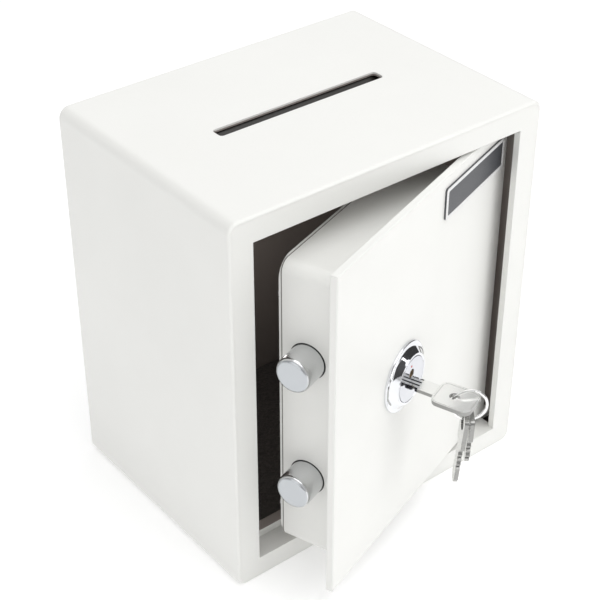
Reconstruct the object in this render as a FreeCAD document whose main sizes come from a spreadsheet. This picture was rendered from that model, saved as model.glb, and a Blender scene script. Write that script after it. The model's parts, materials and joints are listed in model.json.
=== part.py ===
import FreeCAD, Part
import math
import os
import Sketcher
from FreeCAD import Placement, Rotation, Vector

# Small steel deposit safe (donation box), in millimetres.
# Frame: +Z up, the front of the case faces -Y, +X is the hinge side.
# Origin: centre of the case's footprint, on the underside of the case.
# The door stands ajar, its two bolts are drawn in and the key is in the lock.

doc = FreeCAD.newDocument("deposit_safe")
sheet = doc.addObject("Spreadsheet::Sheet", "Sizes")

SIZES = {
    # case: a folded sheet sleeve with a plate frame in its mouth
    "case_w": 200, "case_d": 145, "case_h": 225, "wall": 2,
    "case_round": 6, "mouth_round": 1.5, "back_t": 2,
    "frame_t": 4, "frame_side": 14, "frame_foot": 13.5, "frame_head": 14,
    "jamb_t": 2, "jamb_depth": 12.7, "relief_over": 0.5,
    "slot_len": 106, "slot_wide": 8, "slot_from_front": 73.5, "slot_round": 2,
    "fixing_hole": 10, "base_fixing_pitch": 110, "base_fixing_from_front": 85,
    "back_fixing_pitch": 110, "back_fixing_height": 165,
    # things fixed inside the case
    "stop_wide": 6.6, "stop_rise": 4.7, "stop_t": 1.5, "stop_end": 60,
    "keeper_t": 2, "keeper_from_front": 20, "keeper_reach": 11.5,
    "keeper_foot": 48, "keeper_h": 118, "keeper_leg": 25,
    "mat_t": 3, "mat_gap": 1, "mat_hole": 12,
    "baffle_len": 130, "baffle_t": 1.5, "baffle_reach": 26, "baffle_drop": 20,
    "baffle_flange": 14, "baffle_behind_slot": 20,
    "bracket_w": 34, "bracket_d": 30, "bracket_t": 3, "bracket_leg": 26, "bracket_leg_t": 2,
    "bracket_leg_in": 8, "bracket_gap": 0.5,
    # door, given as it stands when shut
    "door_recess": 8, "door_t": 4, "door_gap": 1.5, "door_tuck": 4,
    "door_round": 0.8, "door_ajar": 19.5,
    "axis_x": 74, "axis_from_front": 16, "pin_dia": 5, "pin_len": 22,
    "lug_w": 12, "lug_d": 8.5, "lug_h": 18, "washer_dia": 9,
    "case_run": 0.1, "pin_run": 0.05,
    "badge_w": 65, "badge_h": 18, "badge_t": 1, "badge_x": 19, "badge_z": 185,
    "badge_round": 1.5,
    # lock case on the back of the door
    "pan_inset": 16, "pan_w": 126.5, "pan_d": 36.4, "pan_h": 174, "pan_foot": 21,
    "pan_t": 1.5, "pan_round": 6, "pan_lip": 10, "cover_t": 1.2, "cover_round": 10,
    "cover_screw_in": 6, "cover_screw_end": 21, "screw_hole": 3.6, "screw_shank": 3.4,
    "screw_len": 6, "screw_head": 7, "screw_head_t": 2.2, "drive_w": 1, "drive_deep": 1,
    # two live bolts, the bar that joins them and their guides
    "bolt_dia": 19.2, "bolt_run": 0.1, "bolt_len": 52.7, "bolt_round": 2.5,
    "bolt_proud": 15.2, "bolt_behind_plate": 21.3, "bolt_upper_z": 143.4,
    "bolt_lower_z": 70.1, "bolt_flat_len": 16, "bolt_flat_off": 1.2, "bolt_throw": 11,
    "bar_t": 3, "bar_w": 15.5, "bar_over": 9.6, "bar_round": 1.5,
    "bar_arm_len": 43, "bar_arm_h": 12, "bar_arm_up": 5, "crank_slot_up": 6.3, "crank_slot_h": 8.4,
    "guide_t": 7, "guide_d": 33, "guide_h": 29,
    # key lock
    "lock_x": -17, "lock_z": 111.2, "rose_dia": 39.5, "face_dia": 28.6, "rose_h": 5.3,
    "rose_rim": 1.2,
    "barrel_dia": 25, "barrel_back": 16, "barrel_hole": 25.2, "nut_af": 32, "nut_t": 4,
    "plug_face_dia": 25, "plug_face_t": 3, "plug_sunk": 0.3, "plug_dia": 18,
    "plug_run": 0.1, "plug_tail_dia": 10, "cam_t": 3, "cam_gap": 2, "crank_r": 11,
    "cam_hub": 16, "cam_arm_w": 9, "crank_pin": 5, "crank_pin_len": 8.5, "crank_slack": 0.5,
    "turn": 60, "cam_screw_head": 8, "cam_screw_t": 2.4, "keyway_past": 1.5,
    "dimple_dia": 5, "dimple_up": 3.8, "dimple_deep": 1.5,
    # keys and ring; "in" is measured from the far end of the bow to the centre of its hole
    "key_roll": 5, "key_low": 2.5, "blade_w": 8, "blade_t": 2.2, "blade_in": 20, "blade_out": 5,
    "keyway_run": 0.25, "bit_pitch": 3.1, "bit_cut": 1.5, "key_point": 3, "key_lap": 2,
    "main_blade": 25, "main_shank": 9.2, "main_bow": 22, "main_bow_w": 17, "main_bow_t": 2.6,
    "main_round": 4, "main_hole": 5, "main_hole_in": 12,
    "long_blade": 23, "long_shank": 1, "long_bow": 20, "long_bow_w": 15.3, "long_bow_t": 2.2,
    "long_round": 2.5, "long_hole": 8, "long_hole_in": 6, "long_spot": 9.5, "long_lean": 4.5,
    "short_blade": 15, "short_shank": 1, "short_bow": 14, "short_bow_w": 15.3, "short_bow_t": 2.2,
    "short_round": 2.5, "short_hole": 8, "short_hole_in": 6, "short_spot": -9.5, "short_lean": 2,
    "ring_r": 9, "ring_wire": 1.5, "ring_twist": 32, "ring_reach": 13.2, "ring_play": 0.5,
    "hang_play": 0.55,
}

for row, (alias, value) in enumerate(SIZES.items(), start=1):
    cell = "B%d" % row
    sheet.set("A%d" % row, alias)
    sheet.set(cell, str(value))
    sheet.setAlias(cell, alias)
doc.recompute()


def size(alias):
    """Value of one named size, read from the sheet."""
    return float(sheet.get(alias))


FRONT = -size("case_d") / 2
AXIS = Vector(size("axis_x"), FRONT + size("axis_from_front"), 0)
AJAR = Placement(Vector(0, 0, 0), Rotation(Vector(0, 0, 1), size("door_ajar")), AXIS)
PLATE_BACK = FRONT + size("door_recess") + size("door_t")
PAN_X = -(size("case_w") / 2 - size("frame_side") - size("door_gap")) + size("pan_inset")
pieces = []


def at(x, y, z, turn=Rotation()):
    """Placement of a piece that stands still in the case."""
    return Placement(Vector(x, y, z), turn)


def on_door(x, y, z, turn=Rotation()):
    """Placement of a piece given with the door shut, carried round to the ajar door."""
    return AJAR.multiply(at(x, y, z, turn))


def bind(obj, **formulas):
    """Tie properties of an object to formulas on the sheet."""
    for prop, formula in formulas.items():
        obj.setExpression(prop, formula)


def body(label, place):
    made = doc.addObject("PartDesign::Body", label)
    made.Label = label
    made.Placement = place
    pieces.append(made)
    return made


def sketch(owner, role, name, offset=None):
    """Sketch on one of the body's own origin planes, moved along the plane's normal."""
    plane = next(f for f in owner.Origin.OriginFeatures if f.Role == role)
    made = owner.newObject("Sketcher::SketchObject", name)
    made.AttachmentSupport = [(plane, "")]
    made.MapMode = "FlatFace"
    if offset:
        made.setExpression("AttachmentOffset.Base.z", offset)
    return made


def measure(sk, kind, refs, name, formula):
    index = sk.addConstraint(Sketcher.Constraint(kind, *refs, 1.0))
    sk.renameConstraint(index, name)
    sk.setExpression("Constraints." + name, formula)


def place_point(sk, geo, point, name, x, y):
    """Hold a point at x, y from the sketch origin; 0 puts it on the axis itself."""
    if x == "0":
        sk.addConstraint(Sketcher.Constraint("PointOnObject", geo, point, -2))
    else:
        measure(sk, "DistanceX", (-1, 1, geo, point), name + "_x", x)
    if y == "0":
        sk.addConstraint(Sketcher.Constraint("PointOnObject", geo, point, -1))
    else:
        measure(sk, "DistanceY", (-1, 1, geo, point), name + "_y", y)


def rectangle(sk, name, x, y, w, h):
    """Rectangle with its lower left corner at x, y."""
    first = sk.GeometryCount
    corners = [Vector(1, 1, 0), Vector(2, 1, 0), Vector(2, 2, 0), Vector(1, 2, 0)]
    for k in range(4):
        sk.addGeometry(Part.LineSegment(corners[k], corners[(k + 1) % 4]))
    for k in range(4):
        sk.addConstraint(Sketcher.Constraint("Coincident", first + k, 2, first + (k + 1) % 4, 1))
        sk.addConstraint(Sketcher.Constraint("Vertical" if k % 2 else "Horizontal", first + k))
    measure(sk, "DistanceX", (first, 1, first, 2), name + "_w", w)
    measure(sk, "DistanceY", (first + 1, 1, first + 1, 2), name + "_h", h)
    place_point(sk, first, 1, name, x, y)


def circle(sk, name, x, y, dia):
    first = sk.GeometryCount
    sk.addGeometry(Part.Circle(Vector(1, 1, 0), Vector(0, 0, 1), 0.5))
    measure(sk, "Diameter", (first,), name + "_d", dia)
    place_point(sk, first, 3, name, x, y)


def chain(sk, name, points):
    """Closed chain of straight lines; each corner is a pair of formulas."""
    first = sk.GeometryCount
    count = len(points)
    spots = [Vector(k % 3 + 1, k + 1, 0) for k in range(count)]
    for k in range(count):
        sk.addGeometry(Part.LineSegment(spots[k], spots[(k + 1) % count]))
    for k in range(count):
        sk.addConstraint(Sketcher.Constraint("Coincident", first + k, 2, first + (k + 1) % count, 1))
    for k, (x, y) in enumerate(points):
        place_point(sk, first + k, 1, "%s%d" % (name, k), x, y)


def pad(owner, sk, name, length, backward=False):
    made = owner.newObject("PartDesign::Pad", name)
    made.Profile = sk
    made.Reversed = backward
    made.setExpression("Length", length)
    owner.Tip = made
    doc.recompute()
    return made


def pocket(owner, sk, name, length=None, backward=False):
    """Cut a sketch out of the body, right through when no length is given."""
    before = owner.Shape.Volume
    made = owner.newObject("PartDesign::Pocket", name)
    made.Profile = sk
    made.Reversed = backward
    if length:
        made.setExpression("Length", length)
    else:
        made.Type = "ThroughAll"
        made.Midplane = True
    owner.Tip = made
    doc.recompute()
    if made.Shape.Volume > before - 0.01:
        raise RuntimeError(owner.Label + ": " + name + " cuts nothing")
    return made


def spin(owner, sk, name):
    """Turn a sketch on the XY plane once round the local X axis."""
    made = owner.newObject("PartDesign::Revolution", name)
    made.Profile = sk
    axis = next(f for f in owner.Origin.OriginFeatures if f.Role == "X_Axis")
    made.ReferenceAxis = (axis, [""])
    made.Angle = 360
    owner.Tip = made
    doc.recompute()
    return made


def inside_corner(edge, wide, high, reach):
    """Whether an edge stands in an inside corner of a hollow section wide x high."""
    spot = edge.CenterOfMass
    return 1 < min(spot.x, wide - spot.x) < reach and 1 < min(spot.z, high - spot.z) < reach


def straight_edges(owner, direction, keep=lambda edge: True):
    """Names of a body's straight edges along a local direction that keep() accepts."""
    names = []
    for index, edge in enumerate(owner.Tip.Shape.Edges, start=1):
        if edge.Curve.TypeId != "Part::GeomLine":
            continue
        if abs(edge.tangentAt(edge.FirstParameter).dot(direction)) > 0.999 and keep(edge):
            names.append("Edge%d" % index)
    return names


def round_edges(owner, name, radius, names):
    base = owner.Tip
    made = owner.newObject("PartDesign::Fillet", name)
    made.Base = (base, names)
    made.setExpression("Radius", radius)
    owner.Tip = made
    doc.recompute()
    return made


def part_box(label, place, length, width, height):
    made = doc.addObject("Part::Box", label)
    bind(made, Length=length, Width=width, Height=height)
    made.Placement = place
    return made


def part_rod(label, place, dia, length):
    made = doc.addObject("Part::Cylinder", label)
    bind(made, Radius=dia + " / 2", Height=length)
    made.Placement = place
    return made


def screw(label, x, y, z, with_shank=False):
    """Slotted screw driven towards -Y, its head lying on the face at y."""
    solid = part_rod(label + "_head", at(x, y, z, TO_Y), "Sizes.screw_head", "Sizes.screw_head_t")
    if with_shank:
        shank = part_rod(label + "_shank", at(x, y - size("screw_len"), z, TO_Y),
                         "Sizes.screw_shank", "Sizes.screw_len")
        solid = fuse(label + "_solid", solid, shank)
    return cut(label, solid, drive_slot(label, x, y + size("screw_head_t"), z, "Sizes.screw_head"))


def drive_slot(label, x, y, z, dia):
    """Cutter for a driver slot across a head of that diameter whose top lies at y."""
    made = part_box(label + "_slot", Placement(), dia, "Sizes.drive_deep", "Sizes.drive_w")
    made.Placement = at(x - made.Length.Value / 2, y - size("drive_deep"), z - size("drive_w") / 2)
    return made


def fuse(label, *shapes):
    made = doc.addObject("Part::MultiFuse", label)
    made.Shapes = list(shapes)
    return made


def cut(label, base, tool):
    made = doc.addObject("Part::Cut", label)
    made.Base = base
    made.Tool = tool
    return made


def group(label, *shapes):
    """Several separate pieces of one kind, kept as separate solids."""
    made = doc.addObject("Part::Compound", label)
    made.Links = list(shapes)
    return made


def finish(obj, label, place=None):
    obj.Label = label
    if place:
        obj.Placement = place
    pieces.append(obj)
    return obj


X = Vector(1, 0, 0)
Y = Vector(0, 1, 0)
Z = Vector(0, 0, 1)
# turns that lay a rod made along Z into X or Y
TO_X = Rotation(Y, 90)
TO_Y = Rotation(X, -90)

# ---------------------------------------------------------------- case sleeve
shell = body("case_shell", at(-size("case_w") / 2, FRONT, 0))
sk = sketch(shell, "XZ_Plane", "sleeve_section")
rectangle(sk, "outer", "0", "0", "Sizes.case_w", "Sizes.case_h")
pad(shell, sk, "sleeve_solid", "Sizes.case_d", backward=True)
round_edges(shell, "sleeve_corners", "Sizes.case_round", straight_edges(shell, Y))
sk = sketch(shell, "XZ_Plane", "sleeve_bore")
rectangle(sk, "inner", "Sizes.wall", "Sizes.wall",
          "Sizes.case_w - 2 * Sizes.wall", "Sizes.case_h - 2 * Sizes.wall")
pocket(shell, sk, "sleeve_hollow")
round_edges(shell, "inside_corners", "Sizes.case_round - Sizes.wall", straight_edges(
    shell, Y, lambda e: inside_corner(e, size("case_w"), size("case_h"), size("wall") + 0.1)))


def mouth_edge(edge):
    """Outside edge of the sleeve at its front end."""
    box = edge.BoundBox
    outside = (box.ZMin < 0.01 or box.ZMax > size("case_h") - 0.01
               or box.XMin < 0.01 or box.XMax > size("case_w") - 0.01)
    return box.YMax < 0.01 and outside


rim = ["Edge%d" % k for k, e in enumerate(shell.Tip.Shape.Edges, start=1) if mouth_edge(e)]
round_edges(shell, "mouth_edge", "Sizes.mouth_round", rim)
sk = sketch(shell, "XY_Plane", "slot_outline", "Sizes.case_h")
rectangle(sk, "slot", "(Sizes.case_w - Sizes.slot_len) / 2",
          "Sizes.slot_from_front - Sizes.slot_wide / 2", "Sizes.slot_len", "Sizes.slot_wide")
pocket(shell, sk, "deposit_slot", "2 * Sizes.wall")
slot_corners = straight_edges(
    shell, Z, lambda e: e.Length < size("wall") + 0.1 and e.CenterOfMass.z > size("case_h") / 2
    and abs(e.CenterOfMass.x - size("case_w") / 2) < size("slot_len") / 2 + 1)
round_edges(shell, "slot_corners", "Sizes.slot_round", slot_corners)
sk = sketch(shell, "XY_Plane", "base_fixing_holes")
for side, sign in (("left", "-"), ("right", "+")):
    circle(sk, side, "Sizes.case_w / 2 %s Sizes.base_fixing_pitch / 2" % sign,
           "Sizes.base_fixing_from_front", "Sizes.fixing_hole")
pocket(shell, sk, "base_holes", "2 * Sizes.wall", backward=True)

# ---------------------------------------------------------------- back panel
back = body("back_panel", at(-size("case_w") / 2, -FRONT - size("back_t"), 0))
sk = sketch(back, "XZ_Plane", "back_outline")
rectangle(sk, "back", "Sizes.wall", "Sizes.wall",
          "Sizes.case_w - 2 * Sizes.wall", "Sizes.case_h - 2 * Sizes.wall")
for side, sign in (("left", "-"), ("right", "+")):
    circle(sk, side, "Sizes.case_w / 2 %s Sizes.back_fixing_pitch / 2" % sign,
           "Sizes.back_fixing_height", "Sizes.fixing_hole")
pad(back, sk, "back_plate", "Sizes.back_t", backward=True)
round_edges(back, "back_corners", "Sizes.case_round - Sizes.wall", straight_edges(back, Y))

# ---------------------------------------------------------------- front frame
# Plate frame with folded jambs on the latch side, head and foot; the hinge side
# has no deep jamb, so the tucked edge of the door can swing in behind it.
frame = body("front_frame", at(-size("case_w") / 2, FRONT, 0))
OPEN_W = "(Sizes.case_w - 2 * Sizes.frame_side)"
OPEN_H = "(Sizes.case_h - Sizes.frame_foot - Sizes.frame_head)"
sk = sketch(frame, "XZ_Plane", "frame_outline")
rectangle(sk, "rim", "Sizes.wall", "Sizes.wall",
          "Sizes.case_w - 2 * Sizes.wall", "Sizes.case_h - 2 * Sizes.wall")
pad(frame, sk, "frame_plate", "Sizes.frame_t", backward=True)
round_edges(frame, "frame_corners", "Sizes.case_round - Sizes.wall", straight_edges(frame, Y))
sk = sketch(frame, "XZ_Plane", "jamb_outline")
rectangle(sk, "jambs", "Sizes.frame_side - Sizes.jamb_t", "Sizes.frame_foot - Sizes.jamb_t",
          OPEN_W + " + 2 * Sizes.jamb_t", OPEN_H + " + 2 * Sizes.jamb_t")
pad(frame, sk, "jambs", "Sizes.jamb_depth", backward=True)
sk = sketch(frame, "XZ_Plane", "doorway_outline")
rectangle(sk, "doorway", "Sizes.frame_side", "Sizes.frame_foot", OPEN_W, OPEN_H)
pocket(frame, sk, "doorway")
sk = sketch(frame, "XZ_Plane", "hinge_side_relief", "-Sizes.jamb_depth")
rectangle(sk, "relief", "Sizes.case_w - Sizes.frame_side - Sizes.relief_over", "Sizes.frame_foot",
          "Sizes.jamb_t + 2 * Sizes.relief_over", OPEN_H)
pocket(frame, sk, "hinge_side_relief", "Sizes.jamb_depth - Sizes.frame_t", backward=True)

# ---------------------------------------------------------------- door stops
# Inverted channels along the foot and head of the doorway, short of the hinge.
for label, foot in (("door_stop_lower", True), ("door_stop_upper", False)):
    height = "Sizes.%s + Sizes.stop_rise - Sizes.wall" % ("frame_foot" if foot else "frame_head")
    tall = size("frame_foot" if foot else "frame_head") + size("stop_rise") - size("wall")
    if foot:
        place = at(-size("case_w") / 2 + size("case_round"), FRONT + size("jamb_depth"),
                   size("wall"))
    else:
        place = at(-size("case_w") / 2 + size("case_round"),
                   FRONT + size("jamb_depth") + size("stop_wide"),
                   size("case_h") - size("wall"), Rotation(X, 180))
    stop = body(label, place)
    sk = sketch(stop, "YZ_Plane", label + "_section")
    chain(sk, "p", [("0", "0"), ("Sizes.stop_t", "0"), ("Sizes.stop_t", height + " - Sizes.stop_t"),
                    ("Sizes.stop_wide - Sizes.stop_t", height + " - Sizes.stop_t"),
                    ("Sizes.stop_wide - Sizes.stop_t", "0"), ("Sizes.stop_wide", "0"),
                    ("Sizes.stop_wide", height), ("0", height)])
    pad(stop, sk, label + "_run", "Sizes.case_w / 2 - Sizes.case_round + Sizes.stop_end")
    round_edges(stop, label + "_bends", "Sizes.stop_t * 0.6", straight_edges(
        stop, X, lambda e: e.CenterOfMass.z > tall - 0.01))

# ---------------------------------------------------------------- bolt keeper, mat, baffle
keeper = body("bolt_keeper", at(-size("case_w") / 2 + size("wall"),
                                FRONT + size("keeper_from_front"), size("keeper_foot")))
sk = sketch(keeper, "XY_Plane", "keeper_section")
chain(sk, "p", [("0", "0"), ("Sizes.keeper_reach", "0"), ("Sizes.keeper_reach", "Sizes.keeper_t"),
                ("Sizes.keeper_t", "Sizes.keeper_t"),
                ("Sizes.keeper_t", "Sizes.keeper_leg"), ("0", "Sizes.keeper_leg")])
pad(keeper, sk, "keeper_run", "Sizes.keeper_h")

mat = body("floor_mat", at(-size("case_w") / 2 + size("case_round"),
                           FRONT + size("jamb_depth") + size("stop_wide") + size("mat_gap"),
                           size("wall")))
MAT_FRONT = "(Sizes.jamb_depth + Sizes.stop_wide + Sizes.mat_gap)"
sk = sketch(mat, "XY_Plane", "mat_outline")
rectangle(sk, "mat", "0", "0", "Sizes.case_w - 2 * Sizes.case_round",
          "Sizes.case_d - %s - Sizes.back_t - Sizes.mat_gap" % MAT_FRONT)
for side, sign in (("left", "-"), ("right", "+")):
    circle(sk, side, "Sizes.case_w / 2 - Sizes.case_round %s Sizes.base_fixing_pitch / 2" % sign,
           "Sizes.base_fixing_from_front - " + MAT_FRONT, "Sizes.mat_hole")
pad(mat, sk, "mat_pile", "Sizes.mat_t")
mat_w = size("case_w") - 2 * size("case_round")
round_edges(mat, "mat_corners", "Sizes.case_round - Sizes.wall", straight_edges(
    mat, Z, lambda e: min(e.CenterOfMass.x, mat_w - e.CenterOfMass.x) < 1))

# Sloping plate under the slot: gifts slide forward off it, fingers cannot reach past.
baffle = body("slot_baffle", at(-size("baffle_len") / 2, FRONT + size("slot_from_front")
                                + size("baffle_behind_slot"), size("case_h") - size("wall")))
sk = sketch(baffle, "YZ_Plane", "baffle_section")
BEND = "-Sizes.baffle_flange"
LIP = "-Sizes.baffle_flange - Sizes.baffle_reach"
chain(sk, "p", [(BEND, "0"), ("0", "0"), ("0", "-Sizes.baffle_t"),
                (BEND + " + Sizes.baffle_t * 0.6", "-Sizes.baffle_t"),
                (LIP + " + Sizes.baffle_t * 0.6", "-Sizes.baffle_drop - Sizes.baffle_t"),
                (LIP, "-Sizes.baffle_drop")])
pad(baffle, sk, "baffle_run", "Sizes.baffle_len")

# ---------------------------------------------------------------- hinges
pin_foot = size("frame_foot")
pin_head = size("case_h") - size("frame_head")
for label, low in (("hinge_bracket_lower", True), ("hinge_bracket_upper", False)):
    inside_x = size("case_w") / 2 - size("wall")
    back_y = FRONT + size("jamb_depth") + size("bracket_gap")
    foot = pin_foot - size("bracket_t") if low else pin_head
    plate = part_box(label + "_plate", at(inside_x - size("bracket_w"), back_y, foot),
                     "Sizes.bracket_w", "Sizes.bracket_d", "Sizes.bracket_t")
    leg_z = foot if low else foot + size("bracket_t") - size("bracket_leg")
    leg = part_box(label + "_leg",
                   at(inside_x - size("bracket_leg_t"), back_y + size("bracket_leg_in"), leg_z),
                   "Sizes.bracket_leg_t", "Sizes.bracket_d - Sizes.bracket_leg_in", "Sizes.bracket_leg")
    finish(fuse(label, plate, leg), label)

door_foot = size("frame_foot") + size("door_gap")
door_head = size("case_h") - size("frame_head") - size("door_gap")
for label, foot in (("hinge_pin_lower", pin_foot), ("hinge_pin_upper", pin_head - size("pin_len"))):
    finish(part_rod(label, at(AXIS.x, AXIS.y, foot), "Sizes.pin_dia", "Sizes.pin_len"), label)

washers = []
WASHER_T = "Sizes.door_gap - Sizes.case_run"
for tag, base in (("low", pin_foot), ("high", door_head + size("case_run"))):
    disc = part_rod("washer_disc_" + tag, at(AXIS.x, AXIS.y, base), "Sizes.washer_dia", WASHER_T)
    bore = part_rod("washer_bore_" + tag, at(AXIS.x, AXIS.y, base), "Sizes.pin_dia", WASHER_T)
    washers.append(cut("washer_" + tag, disc, bore))
finish(group("hinge_washers", *washers), "hinge_washers")

lugs = []
for tag, base in (("low", door_foot), ("high", door_head - size("lug_h"))):
    block = part_box("lug_block_" + tag, at(AXIS.x - size("lug_w") / 2, PLATE_BACK, base),
                     "Sizes.lug_w", "Sizes.lug_d", "Sizes.lug_h")
    bore = part_rod("lug_bore_" + tag, at(AXIS.x, AXIS.y, base),
                    "(Sizes.pin_dia + 2 * Sizes.pin_run)", "Sizes.lug_h")
    lugs.append(cut("lug_" + tag, block, bore))
finish(group("hinge_lugs", *lugs), "hinge_lugs", AJAR)

# ---------------------------------------------------------------- door plate and badge
LEFT = "(Sizes.case_w / 2 - Sizes.frame_side - Sizes.door_gap)"
PLATE_W = "(%s + Sizes.case_w / 2 - Sizes.frame_side + Sizes.door_tuck)" % LEFT
PLATE_H = "(%s - 2 * Sizes.door_gap)" % OPEN_H
door_left = -(size("case_w") / 2 - size("frame_side") - size("door_gap"))
plate = body("door_plate", on_door(door_left, FRONT + size("door_recess"), door_foot))
sk = sketch(plate, "XZ_Plane", "plate_outline")
rectangle(sk, "plate", "0", "0", PLATE_W, PLATE_H)
circle(sk, "lock_hole", LEFT + " + Sizes.lock_x",
       "Sizes.lock_z - Sizes.frame_foot - Sizes.door_gap", "Sizes.barrel_hole")
pad(plate, sk, "plate_slab", "Sizes.door_t", backward=True)
round_edges(plate, "plate_front_edge", "Sizes.door_round", [
    "Edge%d" % k for k, e in enumerate(plate.Tip.Shape.Edges, start=1)
    if e.Curve.TypeId == "Part::GeomLine" and e.BoundBox.YMax < 0.01])

badge = body("blank_badge", on_door(size("badge_x"), FRONT + size("door_recess") - size("badge_t"),
                                    size("badge_z")))
sk = sketch(badge, "XZ_Plane", "badge_outline")
rectangle(sk, "badge", "0", "0", "Sizes.badge_w", "Sizes.badge_h")
pad(badge, sk, "badge_slab", "Sizes.badge_t", backward=True)
round_edges(badge, "badge_corners", "Sizes.badge_round", straight_edges(badge, Y))

# ---------------------------------------------------------------- lock case and its cover
pan = body("lock_case", on_door(PAN_X, PLATE_BACK, size("pan_foot")))
sk = sketch(pan, "XZ_Plane", "case_outline")
rectangle(sk, "case", "0", "0", "Sizes.pan_w", "Sizes.pan_h")
pad(pan, sk, "case_solid", "Sizes.pan_d", backward=True)
sk = sketch(pan, "XZ_Plane", "case_inside")
rectangle(sk, "inside", "Sizes.pan_t", "Sizes.pan_t", "Sizes.pan_w - 2 * Sizes.pan_t",
          "Sizes.pan_h - 2 * Sizes.pan_t")
pocket(pan, sk, "case_hollow", "Sizes.pan_d - Sizes.pan_t")
round_edges(pan, "inside_bends", "Sizes.pan_round - Sizes.pan_t", straight_edges(
    pan, Y, lambda e: inside_corner(e, size("pan_w"), size("pan_h"), size("pan_t") + 0.1)))
round_edges(pan, "outside_bends", "Sizes.pan_round", straight_edges(
    pan, Y, lambda e: e.Length > size("pan_d") - 0.1))
sk = sketch(pan, "XZ_Plane", "case_window", "-Sizes.pan_d")
rectangle(sk, "window", "Sizes.pan_lip", "Sizes.pan_lip", "Sizes.pan_w - 2 * Sizes.pan_lip",
          "Sizes.pan_h - 2 * Sizes.pan_lip")
SCREWS = [(side, level) for side in ("left", "right") for level in ("low", "high")]
SCREW_X = {"left": "Sizes.cover_screw_in", "right": "Sizes.pan_w - Sizes.cover_screw_in"}
SCREW_Z = {"low": "Sizes.cover_screw_end", "high": "Sizes.pan_h - Sizes.cover_screw_end"}
for side, level in SCREWS:
    circle(sk, "screw_%s_%s" % (side, level), SCREW_X[side], SCREW_Z[level], "Sizes.screw_hole")
pocket(pan, sk, "case_window", "2 * Sizes.pan_t", backward=True)
sk = sketch(pan, "YZ_Plane", "bolt_holes")
for tag in ("upper", "lower"):
    circle(sk, tag, "Sizes.bolt_behind_plate", "Sizes.bolt_%s_z - Sizes.pan_foot" % tag,
           "Sizes.bolt_dia + 4 * Sizes.bolt_run")
pocket(pan, sk, "bolt_holes", "2 * Sizes.pan_t", backward=True)

cover = body("lock_case_cover", on_door(PAN_X, PLATE_BACK + size("pan_d"), size("pan_foot")))
sk = sketch(cover, "XZ_Plane", "cover_outline")
rectangle(sk, "cover", "0", "0", "Sizes.pan_w", "Sizes.pan_h")
for side, level in SCREWS:
    circle(sk, "screw_%s_%s" % (side, level), SCREW_X[side], SCREW_Z[level], "Sizes.screw_hole")
pad(cover, sk, "cover_sheet", "Sizes.cover_t", backward=True)
round_edges(cover, "cover_corners", "Sizes.cover_round", straight_edges(cover, Y))

screws = []
for side, level in SCREWS:
    x = size("cover_screw_in") if side == "left" else size("pan_w") - size("cover_screw_in")
    z = size("cover_screw_end") if level == "low" else size("pan_h") - size("cover_screw_end")
    screws.append(screw("screw_%s_%s" % (side, level), PAN_X + x,
                        PLATE_BACK + size("pan_d") + size("cover_t"), size("pan_foot") + z, True))
finish(group("cover_screws", *screws), "cover_screws", AJAR)

# ---------------------------------------------------------------- bolts, bar, guides
BOLT_Y = PLATE_BACK + size("bolt_behind_plate")
TIP_X = PAN_X - size("bolt_proud")
BAR_Y = BOLT_Y + size("bolt_flat_off")
for tag in ("upper", "lower"):
    bolt = body("live_bolt_" + tag, on_door(TIP_X, BOLT_Y, size("bolt_%s_z" % tag)))
    sk = sketch(bolt, "XY_Plane", "bolt_%s_half" % tag)
    rectangle(sk, "half", "0", "0", "Sizes.bolt_len", "Sizes.bolt_dia / 2")
    spin(bolt, sk, "bolt_%s_turned" % tag)
    round_edges(bolt, "bolt_%s_nose" % tag, "Sizes.bolt_round", [
        "Edge%d" % k for k, e in enumerate(bolt.Tip.Shape.Edges, start=1) if e.BoundBox.XMax < 0.01])
    sk = sketch(bolt, "XY_Plane", "bolt_%s_flat" % tag)
    rectangle(sk, "flat", "Sizes.bolt_len - Sizes.bolt_flat_len", "Sizes.bolt_flat_off",
              "Sizes.bolt_flat_len + 1", "Sizes.bolt_dia")
    pocket(bolt, sk, "bolt_%s_flat" % tag)

bar_left = TIP_X + size("bolt_len") - size("bolt_flat_len")
bar_foot = size("bolt_lower_z") - size("bar_over")
bar = body("bolt_bar", on_door(bar_left, BAR_Y, bar_foot))
BAR_H = "(Sizes.bolt_upper_z - Sizes.bolt_lower_z + 2 * Sizes.bar_over)"
sk = sketch(bar, "XZ_Plane", "bar_outline")
rectangle(sk, "bar", "0", "0", "Sizes.bar_w", BAR_H)
pad(bar, sk, "bar_strip", "Sizes.bar_t", backward=True)
LOCK_UP = "(Sizes.lock_z - Sizes.bolt_lower_z + Sizes.bar_over)"
sk = sketch(bar, "XZ_Plane", "arm_outline")
rectangle(sk, "arm", "0", LOCK_UP + " + Sizes.bar_arm_up", "Sizes.bar_arm_len", "Sizes.bar_arm_h")
pad(bar, sk, "bar_arm", "Sizes.bar_t", backward=True)
# Upright slot worked by the crank pin: half the throw to the hinge side of the lock centre.
slot_x = size("lock_x") + size("bolt_throw") / 2 - bar_left
slot_half = size("crank_pin") / 2 + size("crank_slack")
sk = sketch(bar, "XZ_Plane", "crank_slot")
rectangle(sk, "crank_slot", "%.3f" % (slot_x - slot_half), LOCK_UP + " + Sizes.crank_slot_up",
          "Sizes.crank_pin + 2 * Sizes.crank_slack", "Sizes.crank_slot_h")
pocket(bar, sk, "crank_slot")
round_edges(bar, "bar_corners", "Sizes.bar_round", straight_edges(
    bar, Y, lambda e: min(e.CenterOfMass.x, size("bar_arm_len") - e.CenterOfMass.x) < 1))

bolt_screws = [screw("bar_screw_" + tag, bar_left + size("bar_w") / 2, BAR_Y + size("bar_t"),
                     size("bolt_%s_z" % tag)) for tag in ("upper", "lower")]
finish(group("bar_screws", *bolt_screws), "bar_screws", AJAR)

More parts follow.
